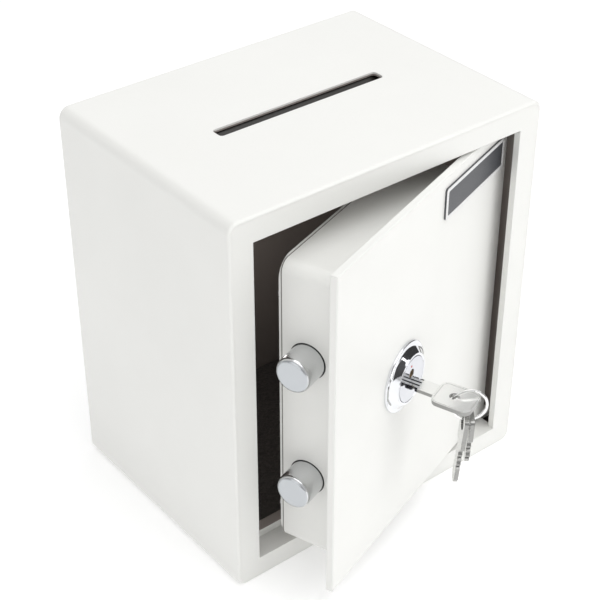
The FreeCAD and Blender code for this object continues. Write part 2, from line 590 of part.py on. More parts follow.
guides = []
for tag in ("upper", "lower"):
    z = size("bolt_%s_z" % tag)
    block = part_box("guide_block_" + tag,
                     at(PAN_X + size("pan_t"), PLATE_BACK, z - size("guide_h") / 2),
                     "Sizes.guide_t", "Sizes.guide_d", "Sizes.guide_h")
    bore = part_rod("guide_bore_" + tag, at(PAN_X, BOLT_Y, z, TO_X),
                    "(Sizes.bolt_dia + 2 * Sizes.bolt_run)", "2 * Sizes.guide_t")
    guides.append(cut("guide_" + tag, block, bore))
finish(group("bolt_guides", *guides), "bolt_guides", AJAR)

# ---------------------------------------------------------------- lock
# Turned parts are drawn about their local X axis, which then points out of the door.
FACE = FRONT + size("door_recess") - size("rose_h")
OUTWARD = Rotation(Z, -90)


def lock_place(depth, roll=0):
    """Placement on the lock's axis, a depth behind the face of the rose, local X outward."""
    return on_door(size("lock_x"), FACE + depth, size("lock_z"),
                   Rotation(Vector(0, -1, 0), roll).multiply(OUTWARD))


LOCK_DEPTH = "(Sizes.rose_h + Sizes.door_t + Sizes.barrel_back)"
rose = body("lock_rose", lock_place(0))
sk = sketch(rose, "XY_Plane", "rose_half")
chain(sk, "p", [("-Sizes.plug_face_t - Sizes.plug_sunk", "Sizes.plug_face_dia / 2 + Sizes.plug_run"),
                ("0", "Sizes.plug_face_dia / 2 + Sizes.plug_run"),
                ("0", "Sizes.face_dia / 2"),
                ("-Sizes.rose_h + Sizes.rose_rim", "Sizes.rose_dia / 2"),
                ("-Sizes.rose_h", "Sizes.rose_dia / 2"),
                ("-Sizes.rose_h", "Sizes.barrel_dia / 2"),
                ("-" + LOCK_DEPTH, "Sizes.barrel_dia / 2"),
                ("-" + LOCK_DEPTH, "Sizes.plug_dia / 2 + Sizes.plug_run"),
                ("-Sizes.plug_face_t - Sizes.plug_sunk", "Sizes.plug_dia / 2 + Sizes.plug_run")])
spin(rose, sk, "rose_turned")

nut = body("lock_nut", on_door(size("lock_x"), PLATE_BACK, size("lock_z")))
sk = sketch(nut, "XZ_Plane", "nut_outline")
NUT_R = "Sizes.nut_af / 2 / cos(30)"
chain(sk, "p", [("%s * cos(%d)" % (NUT_R, turn), "%s * sin(%d)" % (NUT_R, turn) if turn % 180 else "0")
                for turn in range(0, 360, 60)])
circle(sk, "bore", "0", "0", "Sizes.barrel_dia")
pad(nut, sk, "nut_slab", "Sizes.nut_t", backward=True)

KEYWAY_W = "(Sizes.blade_w + 2 * Sizes.keyway_run)"
KEYWAY_T = "(Sizes.blade_t + 2 * Sizes.keyway_run)"
TAIL_END = "(%s + Sizes.cam_gap + Sizes.cam_t)" % LOCK_DEPTH
plug = body("lock_plug", lock_place(0, size("key_roll")))
sk = sketch(plug, "XY_Plane", "plug_half")
chain(sk, "p", [("-" + TAIL_END, "0"), ("-Sizes.plug_sunk", "0"),
                ("-Sizes.plug_sunk", "Sizes.plug_face_dia / 2"),
                ("-Sizes.plug_sunk - Sizes.plug_face_t + Sizes.plug_run", "Sizes.plug_face_dia / 2"),
                ("-Sizes.plug_sunk - Sizes.plug_face_t + Sizes.plug_run", "Sizes.plug_dia / 2"),
                ("-%s - Sizes.cam_gap" % LOCK_DEPTH, "Sizes.plug_dia / 2"),
                ("-%s - Sizes.cam_gap" % LOCK_DEPTH, "Sizes.plug_tail_dia / 2"),
                ("-" + TAIL_END, "Sizes.plug_tail_dia / 2")])
spin(plug, sk, "plug_turned")
# keyway: local Y is the flat direction of the blade
sk = sketch(plug, "YZ_Plane", "keyway_outline")
rectangle(sk, "keyway", "-%s / 2" % KEYWAY_W, "-Sizes.key_low - %s / 2" % KEYWAY_T,
          KEYWAY_W, KEYWAY_T)
pocket(plug, sk, "keyway", "Sizes.blade_in + Sizes.plug_sunk + Sizes.keyway_past")
# round sighting dimple above the keyway
sk = sketch(plug, "YZ_Plane", "dimple_outline")
circle(sk, "dimple", "0", "Sizes.dimple_up", "Sizes.dimple_dia")
pocket(plug, sk, "dimple", "Sizes.plug_sunk + Sizes.dimple_deep")

# Cam: hub round the plug's tail, an arm and the crank pin that works the bolt bar.
CAM_Y = FACE + size("rose_h") + size("door_t") + size("barrel_back") + size("cam_gap")
lean = 90 - size("turn") / 2
crank_dir = Rotation(Vector(0, -1, 0), lean)
hub = part_rod("cam_hub_disc", at(0, 0, 0, TO_Y), "Sizes.cam_hub", "Sizes.cam_t")
arm = part_box("cam_arm", at(0, 0, -size("cam_arm_w") / 2), "Sizes.crank_r", "Sizes.cam_t",
               "Sizes.cam_arm_w")
tip = part_rod("cam_tip", at(size("crank_r"), 0, 0, TO_Y), "Sizes.cam_arm_w", "Sizes.cam_t")
pin = part_rod("crank_pin", at(size("crank_r"), 0, 0, TO_Y), "Sizes.crank_pin", "Sizes.crank_pin_len")
hole = part_rod("cam_hole", at(0, 0, 0, TO_Y), "Sizes.plug_tail_dia", "Sizes.cam_t")
cam = cut("lock_cam", fuse("cam_solid", hub, arm, tip, pin), hole)
finish(cam, "lock_cam", on_door(size("lock_x"), CAM_Y, size("lock_z"), crank_dir))

head = part_rod("cam_screw_head", at(size("lock_x"), CAM_Y + size("cam_t"), size("lock_z"), TO_Y),
                "Sizes.cam_screw_head", "Sizes.cam_screw_t")
slot = drive_slot("cam_screw", size("lock_x"), CAM_Y + size("cam_t") + size("cam_screw_t"),
                  size("lock_z"), "Sizes.cam_screw_head")
finish(cut("cam_screw", head, slot), "cam_screw", AJAR)

# ---------------------------------------------------------------- keys
# A key is drawn flat in its local XY plane, thickness along Z, blade towards -Y and
# its bow towards +Y; y = 0 is where the bitted part of the blade ends.


def key_piece(label, place, kind, cuts):
    """Flat double-sided key with a rounded bow and a ring hole, cut from the sizes of its kind."""
    key = body(label, place)
    blade, shank, bow, wide = ["Sizes.%s_%s" % (kind, name)
                               for name in ("blade", "shank", "bow", "bow_w")]
    point = "-%s + Sizes.key_point" % blade
    sk = sketch(key, "XY_Plane", label + "_blade")
    chain(sk, "b", [("-Sizes.blade_w / 2", point), ("-Sizes.blade_w / 4", "-" + blade),
                    ("Sizes.blade_w / 4", "-" + blade), ("Sizes.blade_w / 2", point),
                    ("Sizes.blade_w / 2", shank + " + Sizes.key_lap"),
                    ("-Sizes.blade_w / 2", shank + " + Sizes.key_lap")])
    made = pad(key, sk, label + "_blade_slab", "Sizes.blade_t")
    made.Midplane = True
    sk = sketch(key, "XY_Plane", label + "_bow")
    rectangle(sk, "bow", "-%s / 2" % wide, shank, wide, bow)
    made = pad(key, sk, label + "_bow_slab", "Sizes.%s_bow_t" % kind)
    made.Midplane = True
    doc.recompute()
    round_edges(key, label + "_bow_corners", "Sizes.%s_round" % kind, straight_edges(
        key, Z, lambda e: abs(e.CenterOfMass.x) > size("blade_w") / 2 + 0.1
        and e.CenterOfMass.y > size(kind + "_shank") - 0.1))
    sk = sketch(key, "XY_Plane", label + "_ring_hole")
    circle(sk, "ring_hole", "0", "%s + %s - Sizes.%s_hole_in" % (shank, bow, kind),
           "Sizes.%s_hole" % kind)
    pocket(key, sk, label + "_ring_hole")
    sk = sketch(key, "XY_Plane", label + "_bitting")
    for k in range(cuts):
        for tag, sign in (("l", "-"), ("r", "")):
            # alternate shallow and deep cuts, shifted between the two sides
            deep = "Sizes.bit_cut * %s" % ("1" if (k + (tag == "r")) % 2 else "0.6")
            mid = "-%d * Sizes.bit_pitch - 1" % k
            outer = "%sSizes.blade_w / 2 %s 0.2" % (sign, "-" if sign else "+")
            inner = "%s(Sizes.blade_w / 2 - %s)" % (sign, deep)
            chain(sk, "n%s%d_" % (tag, k), [(outer, mid), (inner, mid + " - Sizes.bit_pitch * 0.4"),
                                            (outer, mid + " - Sizes.bit_pitch * 0.8")])
    pocket(key, sk, label + "_bitting")
    return key


# The key lies in the keyway below the centre of the plug, rolled with the plug.
roll = Rotation(Vector(0, -1, 0), size("key_roll"))
key_root = on_door(size("lock_x"), FACE + size("plug_sunk") - size("blade_out"), size("lock_z"), roll)
key_place = key_root.multiply(at(0, 0, -size("key_low"), Rotation(Z, 180)))
key_piece("lock_key", key_place, "main", cuts=5)

# Ring: upright, turned away from the key's axis, through the hole of the bow and round
# its far corner. It rests on the bow with its top, ring_reach from the hole's centre.
azimuth = Rotation(Z, size("door_ajar") + size("ring_twist"))
along = azimuth.multVec(Vector(0, -1, 0))
flat = key_place.Rotation.multVec(Z)
hole_at = key_place.multVec(Vector(0, size("main_shank") + size("main_bow")
                                   - size("main_hole_in"), 0))
rest_from = size("main_hole") / 2
offset = along * (rest_from + size("ring_reach")) / 2
level = hole_at + offset - Z * (flat.dot(offset) / flat.z)
inner_r = size("ring_r") - size("ring_wire") / 2
drop = (math.sqrt(inner_r ** 2 - ((size("ring_reach") - rest_from) / 2) ** 2)
        - size("main_bow_t") / 2 - size("ring_play"))
ring_centre = level - Z * drop
ring = doc.addObject("Part::Torus", "key_ring")
bind(ring, Radius1="Sizes.ring_r", Radius2="Sizes.ring_wire / 2")
finish(ring, "key_ring", Placement(ring_centre, azimuth.multiply(TO_X)))

# Spare keys hang on the lower part of the ring: the spot is the place on the wire and
# the lean is the key's own, both in degrees from straight down.
for kind in ("long", "short"):
    spot = azimuth.multiply(Rotation(X, 90 + size(kind + "_spot")))
    on_wire = ring_centre - spot.multVec(Y) * size("ring_r")
    turn = azimuth.multiply(Rotation(X, 90 + size(kind + "_lean")))
    hole_y = size(kind + "_shank") + size(kind + "_bow") - size(kind + "_hole_in")
    hang = hole_y + size(kind + "_hole") / 2 - size("ring_wire") / 2 - size("hang_play")
    key_piece("spare_key_" + kind, Placement(on_wire - turn.multVec(Y) * hang, turn), kind, cuts=4)

# ---------------------------------------------------------------- check and write
doc.recompute()
for obj in doc.Objects:
    if "Invalid" in obj.State or "Error" in obj.State:
        raise RuntimeError(obj.Label + " did not recompute")
for piece in pieces:
    if piece.Shape.isNull() or not piece.Shape.isValid():
        raise RuntimeError(piece.Label + " has no valid shape")
os.makedirs("parts", exist_ok=True)
for piece in pieces:
    piece.Shape.exportStep(os.path.join("parts", piece.Label + ".step"))
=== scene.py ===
import json
import math

import bmesh
import bpy
from mathutils import Matrix, Vector


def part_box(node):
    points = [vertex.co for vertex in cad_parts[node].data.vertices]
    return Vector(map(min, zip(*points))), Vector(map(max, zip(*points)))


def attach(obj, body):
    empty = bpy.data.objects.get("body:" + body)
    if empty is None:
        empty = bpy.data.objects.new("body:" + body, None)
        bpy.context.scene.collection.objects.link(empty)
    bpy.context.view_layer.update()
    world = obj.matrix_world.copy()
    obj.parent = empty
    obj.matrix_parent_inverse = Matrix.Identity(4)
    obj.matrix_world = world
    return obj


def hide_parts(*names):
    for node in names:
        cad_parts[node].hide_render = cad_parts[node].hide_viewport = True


# Looks of a small steel deposit safe: door ajar, bolts drawn in, keys hanging from the lock.
# Metres, in the same frame as the CAD: +Z up, the front faces -Y, hinges on the +X side.

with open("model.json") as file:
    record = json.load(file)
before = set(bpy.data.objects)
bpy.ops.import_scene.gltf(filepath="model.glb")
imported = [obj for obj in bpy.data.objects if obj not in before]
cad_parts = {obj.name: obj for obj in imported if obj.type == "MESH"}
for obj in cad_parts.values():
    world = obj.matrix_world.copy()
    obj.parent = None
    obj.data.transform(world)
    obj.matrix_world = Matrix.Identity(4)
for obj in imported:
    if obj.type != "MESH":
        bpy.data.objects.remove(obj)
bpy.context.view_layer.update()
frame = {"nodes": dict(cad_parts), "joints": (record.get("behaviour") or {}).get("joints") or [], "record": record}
NODES = frame["nodes"]
JOINTS = {joint["name"]: joint for joint in frame["joints"]}
MM = 0.001

# Directions of the ajar door: out of its face, and along it towards the hinge.
OUT = Vector(JOINTS["key_pull"]["axis"]).normalized()
ALONG = -Vector(JOINTS["bolt_throw"]["axis"]).normalized()
UP = Vector((0, 0, 1))
HINGE = Vector(JOINTS["door_hinge"]["pos_m"])

# Centre of the plug's face, and the key's own upright and sideways directions.
LOCK_AT = Vector(JOINTS["lock_turn"]["pos_m"])
KEY_ROLL = Matrix.Rotation(math.radians(5), 3, OUT)
KEY_UP = KEY_ROLL @ UP
KEY_ACROSS = KEY_ROLL @ ALONG

# Box that takes in the inner faces of the case's sheet and not its outer ones, and its middle.
# Inside it the case gets a dark brown that is partly its own paint and partly painted shade; it
# also darkens the lower half of the walls of the slot in the top as painted shade.
INSIDE_LOW = (-0.0985, -0.069, 0.0015)
INSIDE_HIGH = (0.0985, 0.071, 0.224)
CASE_MIDDLE = (0, 0, 0.1125)

# On the shut door, in millimetres: the back of its plate, how far behind that the bolts lie, the
# latch side of the lock case, and the heights of the bolts.
DOOR_BACK_Y = -60.5
BOLT_BEHIND_PLATE = 21.3
LOCK_CASE_SIDE_X = -68.5
BOLT_HEIGHTS = {"upper": 143.4, "lower": 70.1}


# ---------------------------------------------------------------- materials
CREAM = (0.80, 0.80, 0.775)
CREAM_SHADE = (0.775, 0.775, 0.75)
# Inside colour of the case: partly its own dark brown paint, partly painted shade.
INSIDE_BROWN_AND_SHADE = (0.30, 0.265, 0.248)
# Brown painted shade on the level tops of the door stops.
STOP_TOP_SHADE = (0.30, 0.255, 0.235)
# Painted shadow in the gap between the lock case and its cover.
SEAM_SHADOW = (0.12, 0.11, 0.10)
# Grey painted shade on the narrow sides of the keys.
KEY_SIDE_SHADE = (0.34, 0.34, 0.33)
# Dark painted shade in the grooves of the key's blade.
GROOVE_SHADE = (0.03, 0.03, 0.035)
SEAM_DEPTH = 32.1 * MM
SEAM_WIDTH = 0.5 * MM


def new_material(name):
    """Empty principled material; returns it with its node tree and its shader."""
    mat = bpy.data.materials.new(name)
    mat.use_nodes = True
    tree = mat.node_tree
    shader = tree.nodes["Principled BSDF"]
    return mat, tree, shader


def coords(tree, scale=(1, 1, 1)):
    """Object coordinates in metres, stretched by scale."""
    place = tree.nodes.new("ShaderNodeTexCoord")
    stretch = tree.nodes.new("ShaderNodeMapping")
    stretch.inputs["Scale"].default_value = scale
    tree.links.new(place.outputs["Object"], stretch.inputs["Vector"])
    return stretch.outputs["Vector"]


def noise(tree, vector, scale, detail=4.0, rough=0.55):
    """Cloudy noise, mostly between 0.3 and 0.7."""
    tex = tree.nodes.new("ShaderNodeTexNoise")
    tex.inputs["Scale"].default_value = scale
    tex.inputs["Detail"].default_value = detail
    tex.inputs["Roughness"].default_value = rough
    tree.links.new(vector, tex.inputs["Vector"])
    return tex.outputs["Fac"]


def remap(tree, value, low, high, new_low, new_high):
    """Linear change of range, clamped."""
    made = tree.nodes.new("ShaderNodeMapRange")
    for socket, number in (("From Min", low), ("From Max", high), ("To Min", new_low),
                           ("To Max", new_high)):
        made.inputs[socket].default_value = number
    tree.links.new(value, made.inputs["Value"])
    return made.outputs["Result"]


def blend_colours(tree, factor, first, second):
    """Mix of two colours, each a triple or a socket."""
    made = tree.nodes.new("ShaderNodeMix")
    made.data_type = "RGBA"
    for socket, value in (("A", first), ("B", second)):
        if isinstance(value, (tuple, list)):
            made.inputs[socket].default_value = (*value, 1)
        else:
            tree.links.new(value, made.inputs[socket])
    tree.links.new(factor, made.inputs["Factor"])
    return made.outputs["Result"]


def bump(tree, height, strength, distance, below=None):
    """Normal raised by a height, on top of the normal below where one is given."""
    made = tree.nodes.new("ShaderNodeBump")
    made.inputs["Strength"].default_value = strength
    made.inputs["Distance"].default_value = distance
    tree.links.new(height, made.inputs["Height"])
    if below:
        tree.links.new(below, made.inputs["Normal"])
    return made.outputs["Normal"]


def rounded(tree, radius):
    """Normal that softens sharp edges over a radius in metres."""
    made = tree.nodes.new("ShaderNodeBevel")
    made.samples = 4
    made.inputs["Radius"].default_value = radius
    return made.outputs["Normal"]


def compute(tree, operation, first, second):
    """One maths node; either input is a socket or a number."""
    made = tree.nodes.new("ShaderNodeMath")
    made.operation = operation
    for socket, value in zip(made.inputs, (first, second)):
        if isinstance(value, (int, float)):
            socket.default_value = value
        else:
            tree.links.new(value, socket)
    return made.outputs["Value"]


def vector_maths(tree, operation, result, first, second=None):
    """One vector maths node; an input is a socket or three numbers."""
    made = tree.nodes.new("ShaderNodeVectorMath")
    made.operation = operation
    for socket, value in zip(made.inputs, (first, second)):
        if isinstance(value, bpy.types.NodeSocket):
            tree.links.new(value, socket)
        elif value is not None:
            socket.default_value = value
    return made.outputs[result]


def faces_middle(tree):
    """1 where a surface of the case looks towards its middle, 0 where it looks away."""
    surface = tree.nodes.new("ShaderNodeNewGeometry").outputs
    from_middle = vector_maths(tree, "SUBTRACT", "Vector", surface["Position"], CASE_MIDDLE)
    outward = vector_maths(tree, "DOT_PRODUCT", "Value", from_middle, surface["True Normal"])
    return compute(tree, "LESS_THAN", outward, 0)


def inside_case(tree):
    """1 on surfaces inside the sheet of the case, where the dark brown that is partly painted shade goes; 0 on its
    outside.
    """
    place = tree.nodes.new("ShaderNodeSeparateXYZ")
    tree.links.new(coords(tree), place.inputs["Vector"])
    inner = faces_middle(tree)
    for axis, low, high in zip("XYZ", INSIDE_LOW, INSIDE_HIGH):
        for operation, limit in (("GREATER_THAN", low), ("LESS_THAN", high)):
            one = compute(tree, operation, place.outputs[axis], limit)
            inner = compute(tree, "MULTIPLY", inner, one)
    return inner


def reach(tree, start, direction):
    """Distance in metres from a plane through start, along its direction."""
    along = vector_maths(tree, "DOT_PRODUCT", "Value", coords(tree), direction)
    return compute(tree, "SUBTRACT", along, direction.dot(start))


def seam_shadow_band(tree, depth, width):
    """1 on a thin band at a depth behind the hinge axis of the door, where the shadow in the cover's joint is
    painted; 0 elsewhere.
    """
    off = compute(tree, "SUBTRACT", reach(tree, HINGE, -OUT), depth)
    return compute(tree, "LESS_THAN", compute(tree, "ABSOLUTE", off, 0), width / 2)


def cut_sides(tree, flat):
    """1 on the sides of a flat piece, 0 on its two flats, which are square to flat."""
    steepest = 0.7
    normal = tree.nodes.new("ShaderNodeTexCoord").outputs["Normal"]
    facing = vector_maths(tree, "DOT_PRODUCT", "Value", normal, flat)
    return compute(tree, "LESS_THAN", compute(tree, "ABSOLUTE", facing, 0), steepest)


def milled_grooves(tree, start, out, across):
    """1 in the long grooves of a key's blade, close to where it enters the lock, where dark shade is painted."""
    length, half_pitch, land = 5.2 * MM, 1.2 * MM, 0.75 * MM
    near = compute(tree, "LESS_THAN", reach(tree, start, out), length)
    side = compute(tree, "PINGPONG", reach(tree, start, across), half_pitch)
    groove = compute(tree, "GREATER_THAN", side, land)
    return compute(tree, "MULTIPLY", near, groove)


def powder_coat(name, colour, shade, inner=None, seam_shadow_at=None, shaded_tops=None):
    """Fine satin powder coat: orange peel, faint mottling, slightly rubbed patches.

    inner is another colour inside the case, partly painted shade; the next is a brown painted shade on
    level faces; and the last is the depth of a painted shadow line in the joint behind the door's
    hinge axis.
    """
    mottle_scale, speck_scale, rub_scale, wave_scale, peel_scale = 9, 1300, 35, 240, 950
    mat, tree, shader = new_material(name)
    place = coords(tree)
    mottle = remap(tree, noise(tree, place, mottle_scale, 5), 0.3, 0.7, 0, 1)
    specks = remap(tree, noise(tree, place, speck_scale, 2), 0.62, 0.72, 0, 0.25)
    paint = blend_colours(tree, mottle, colour, shade)
    paint = blend_colours(tree, specks, paint, [0.9 * part for part in shade])
    if inner:
        # Inside the case: dark brown, partly painted shade.
        paint = blend_colours(tree, inside_case(tree), paint, inner)
    # Painted shadow line in the joint between the lock case and its cover.
    if seam_shadow_at:
        paint = blend_colours(tree, seam_shadow_band(tree, seam_shadow_at, SEAM_WIDTH), paint, SEAM_SHADOW)
    # Level faces take a brown painted shade.
    if shaded_tops:
        paint = blend_colours(tree, cut_sides(tree, UP), shaded_tops, paint)
    tree.links.new(paint, shader.inputs["Base Color"])
    rub = noise(tree, place, rub_scale, 6, 0.6)
    tree.links.new(remap(tree, rub, 0.3, 0.75, 0.36, 0.50), shader.inputs["Roughness"])
    wave = noise(tree, place, wave_scale, 2)
    waves = bump(tree, wave, 0.10, 0.4 * MM, rounded(tree, 0.4 * MM))
    peel = noise(tree, place, peel_scale, 3)
    tree.links.new(bump(tree, peel, 0.16, 0.12 * MM, waves), shader.inputs["Normal"])
    shader.inputs["Coat Weight"].default_value = 0.12
    shader.inputs["Coat Roughness"].default_value = 0.28
    return mat


def plated(name, colour, shade, smooth, dull, stretch, grain=0.12, soft=0.0003, flat=None,
           groove_shade_at=None):
    """Plated or turned metal: streaks along one direction and faintly cloudy plating.

    flat is the direction of a cut piece's flats; its sides take a grey painted shade. The last argument
    is the place and directions of a blade, whose grooves are painted dark as shade.
    """
    mat, tree, shader = new_material(name)
    shader.inputs["Metallic"].default_value = 1.0
    cloud = noise(tree, coords(tree), 60, 5)
    metal = blend_colours(tree, remap(tree, cloud, 0.3, 0.7, 0, 1), colour, shade)
    if flat:
        # Sides of a cut piece: grey painted shade.
        metal = blend_colours(tree, cut_sides(tree, flat), metal, KEY_SIDE_SHADE)
    if groove_shade_at:
        # Grooves of a blade: dark painted shade.
        metal = blend_colours(tree, milled_grooves(tree, *groove_shade_at), metal, GROOVE_SHADE)
    tree.links.new(metal, shader.inputs["Base Color"])
    streak = noise(tree, coords(tree, stretch), 1, 4, 0.6)
    tree.links.new(remap(tree, streak, 0.25, 0.75, smooth, dull), shader.inputs["Roughness"])
    tree.links.new(bump(tree, streak, grain, 0.00008, rounded(tree, soft)),
                   shader.inputs["Normal"])
    return mat


def turned_about(name, centre, axis, colour, shade, smooth, dull, pitch, end=None):
    """Bright metal turned in a lathe: fine rings about an axis given in metres.

    end is the colour of faces square to the axis, where it differs; on the bolts it is a darker painted shade on
    their end faces.
    """
    mat, tree, shader = new_material(name)
    shader.inputs["Metallic"].default_value = 1.0
    place = tree.nodes.new("ShaderNodeTexCoord").outputs["Object"]
    from_centre = vector_maths(tree, "SUBTRACT", "Vector", place, centre)
    moment = vector_maths(tree, "CROSS_PRODUCT", "Vector", from_centre, axis)
    radius = vector_maths(tree, "LENGTH", "Value", moment)
    rings = tree.nodes.new("ShaderNodeTexNoise")
    rings.noise_dimensions = "1D"
    rings.inputs["Scale"].default_value = 1 / pitch
    rings.inputs["Detail"].default_value = 3
    tree.links.new(radius, rings.inputs["W"])
    cloud = noise(tree, place, 55, 4)
    metal = blend_colours(tree, remap(tree, cloud, 0.3, 0.7, 0, 1), colour, shade)
    # Faces square to the axis: painted shade where an end colour is given.
    if end:
        metal = blend_colours(tree, cut_sides(tree, axis), end, metal)
    tree.links.new(metal, shader.inputs["Base Color"])
    tree.links.new(remap(tree, rings.outputs["Fac"], 0.3, 0.7, smooth, dull),
                   shader.inputs["Roughness"])
    tree.links.new(bump(tree, rings.outputs["Fac"], 0.10, 0.00005, rounded(tree, 0.0004)),
                   shader.inputs["Normal"])
    return mat


def polished_chrome(name):
    """Mirror-bright chrome with faint smears and hairline scratches."""
    mat, tree, shader = new_material(name)
    shader.inputs["Metallic"].default_value = 1.0
    shader.inputs["Base Color"].default_value = (0.86, 0.87, 0.89, 1)
    smear = noise(tree, coords(tree), 140, 5, 0.6)
    tree.links.new(remap(tree, smear, 0.35, 0.8, 0.02, 0.08), shader.inputs["Roughness"])
    scratch = noise(tree, coords(tree, (900, 4000, 900)), 1, 2)
    tree.links.new(bump(tree, scratch, 0.02, 0.00003, rounded(tree, 0.0003)),
                   shader.inputs["Normal"])
    return mat


def felt(name):
    """Needle felt: tangled fibre clumps, no gloss."""
    mat, tree, shader = new_material(name)
    clump = noise(tree, coords(tree), 700, 8, 0.7)
    tree.links.new(blend_colours(tree, remap(tree, clump, 0.35, 0.7, 0, 1),
                                 (0.030, 0.027, 0.025), (0.120, 0.105, 0.098)),
                   shader.inputs["Base Color"])
    shader.inputs["Roughness"].default_value = 0.95
    shader.inputs["Sheen Weight"].default_value = 0.3
    tree.links.new(bump(tree, clump, 0.9, 0.0008), shader.inputs["Normal"])
    return mat


def moulded(name, colour, shade, rough):
    """Semi-matt printed or moulded surface with a fine grain."""
    mat, tree, shader = new_material(name)
    grain = noise(tree, coords(tree), 1500, 3)
    tree.links.new(blend_colours(tree, grain, colour, shade), shader.inputs["Base Color"])
    tree.links.new(remap(tree, grain, 0.3, 0.7, rough - 0.06, rough + 0.06),
                   shader.inputs["Roughness"])
    tree.links.new(bump(tree, grain, 0.08, 0.00005), shader.inputs["Normal"])
    return mat


def enamel(name, colour, rough):
    """Smooth hard enamel with slight unevenness."""
    mat, tree, shader = new_material(name)
    wave = noise(tree, coords(tree), 600, 3)
    shade = [0.85 * part for part in colour]
    tree.links.new(blend_colours(tree, wave, colour, shade), shader.inputs["Base Color"])
    tree.links.new(remap(tree, wave, 0.3, 0.7, rough, rough + 0.1), shader.inputs["Roughness"])
    tree.links.new(bump(tree, wave, 0.05, 0.00005, rounded(tree, 0.0002)),
                   shader.inputs["Normal"])
    return mat


LOOKS = {
    "cream_paint": powder_coat("cream_paint", CREAM, CREAM_SHADE),
    # dark_paint: near-black painted shade, standing for the shadow deep in the case under the slot.
    "dark_paint": powder_coat("black_painted_shade", (0.015, 0.0125, 0.010), (0.019, 0.016, 0.013)),
    "zinc": plated("zinc", (0.74, 0.75, 0.77), (0.68, 0.69, 0.71), 0.16, 0.26, (300, 300, 4000)),
    "steel": plated("steel", (0.50, 0.49, 0.47), (0.38, 0.37, 0.36), 0.30, 0.50, (300, 300, 3000)),
    "chrome": polished_chrome("chrome"),
    "brass": plated("brass", (0.62, 0.46, 0.20), (0.50, 0.36, 0.15), 0.22, 0.40, (800, 800, 3000)),
    "nickel": plated("nickel", (0.66, 0.66, 0.65), (0.56, 0.56, 0.55), 0.18, 0.32,
                     (2500, 700, 700), soft=0.0002),
    "mat_black": felt("felt_black"),
    "badge": moulded("badge_grey", (0.055, 0.058, 0.065), (0.075, 0.078, 0.086), 0.4),
}
SLOT_OF = {part["node"]: part["material_slot"] for part in frame["record"]["subparts"]}

# Nodes whose surface differs from the usual look of their slot.
# Case and back: dark brown inside, partly their own paint and partly painted shade.
own_look = {node: powder_coat("cream_outside_brown_and_shaded_inside", CREAM, CREAM_SHADE,
                              inner=INSIDE_BROWN_AND_SHADE)
            for node in ("case_shell", "back_panel")}
# Door stops: brown painted shade on their level tops.
for node in ("door_stop_lower", "door_stop_upper"):
    own_look[node] = powder_coat("cream_with_painted_shade_tops", CREAM, CREAM_SHADE, shaded_tops=STOP_TOP_SHADE)
# Lock case: painted shadow line in the gap at its cover.
own_look["lock_case"] = powder_coat("cream_with_painted_seam_shadow", CREAM, CREAM_SHADE, seam_shadow_at=SEAM_DEPTH)
# Bolts: their end faces are painted a darker shade.
for node in ("live_bolt_upper", "live_bolt_lower"):
    low, high = map(Vector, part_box(node))
    own_look[node] = turned_about(node + "_turned_zinc", (low + high) / 2, ALONG,
                                  (0.74, 0.75, 0.76), (0.62, 0.63, 0.64), 0.15, 0.27,
                                  pitch=0.5 * MM, end=(0.50, 0.52, 0.54))
TURNED_CHROME = turned_about("turned_chrome", LOCK_AT, OUT, (0.80, 0.81, 0.83),
                             (0.74, 0.75, 0.78), 0.03, 0.07, pitch=0.8 * MM)
own_look["lock_rose"] = TURNED_CHROME
own_look["lock_plug"] = turned_about("turned_plug", LOCK_AT, OUT, (0.66, 0.67, 0.70),
                                     (0.60, 0.61, 0.65), 0.04, 0.09, pitch=0.6 * MM)
# Key in the lock: grey painted shade on its sides and dark painted shade in the blade's grooves.
own_look["lock_key"] = plated("bright_nickel", (0.97, 0.97, 0.96), (0.93, 0.93, 0.92), 0.16,
                              0.26, (2500, 700, 700), grain=0.2, soft=0.2 * MM, flat=KEY_UP,
                              groove_shade_at=(LOCK_AT, OUT, KEY_ACROSS))
# Spare keys: grey painted shade on their sides.
for kind in ("long", "short"):
    swing = Vector(JOINTS[kind + "_key_swing"]["axis"])
    own_look["spare_key_" + kind] = plated("nickel_" + kind, (0.72, 0.72, 0.71),
                                           (0.62, 0.62, 0.61), 0.18, 0.32, (700, 700, 2500),
                                           soft=0.2 * MM, flat=swing)
RING_LOOK = plated("ring_nickel", (0.88, 0.88, 0.87), (0.80, 0.80, 0.79), 0.10, 0.22,
                   (900, 900, 900), grain=0.05, soft=0.1 * MM)
own_look["key_ring"] = RING_LOOK

for node, obj in NODES.items():
    look = own_look.get(node, LOOKS[SLOT_OF[node]])
    if not obj.material_slots:
        obj.data.materials.append(look)
    for place in obj.material_slots:
        place.material = look


# ---------------------------------------------------------------- pieces in more detail
def on_door(x, y, z):
    """Point of the ajar door in metres, from its place in millimetres with the door shut."""
    from_hinge = Vector((x, y, z)) * MM - HINGE
    return HINGE + ALONG * from_hinge.x - OUT * from_hinge.y + UP * from_hinge.z


def add_piece(name, points, faces, body, look, smooth=False):
    """Mesh piece that rides on a CAD body and takes the given material."""
    mesh = bpy.data.meshes.new(name)
    mesh.from_pydata([tuple(point) for point in points], [], faces)
    made = bmesh.new()
    made.from_mesh(mesh)
    bmesh.ops.recalc_face_normals(made, faces=made.faces)
    made.to_mesh(mesh)
    made.free()
    for face in mesh.polygons:
        face.use_smooth = smooth
    mesh.materials.append(look)
    obj = bpy.data.objects.new(name, mesh)
    bpy.context.collection.objects.link(obj)
    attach(obj, body)
    return obj


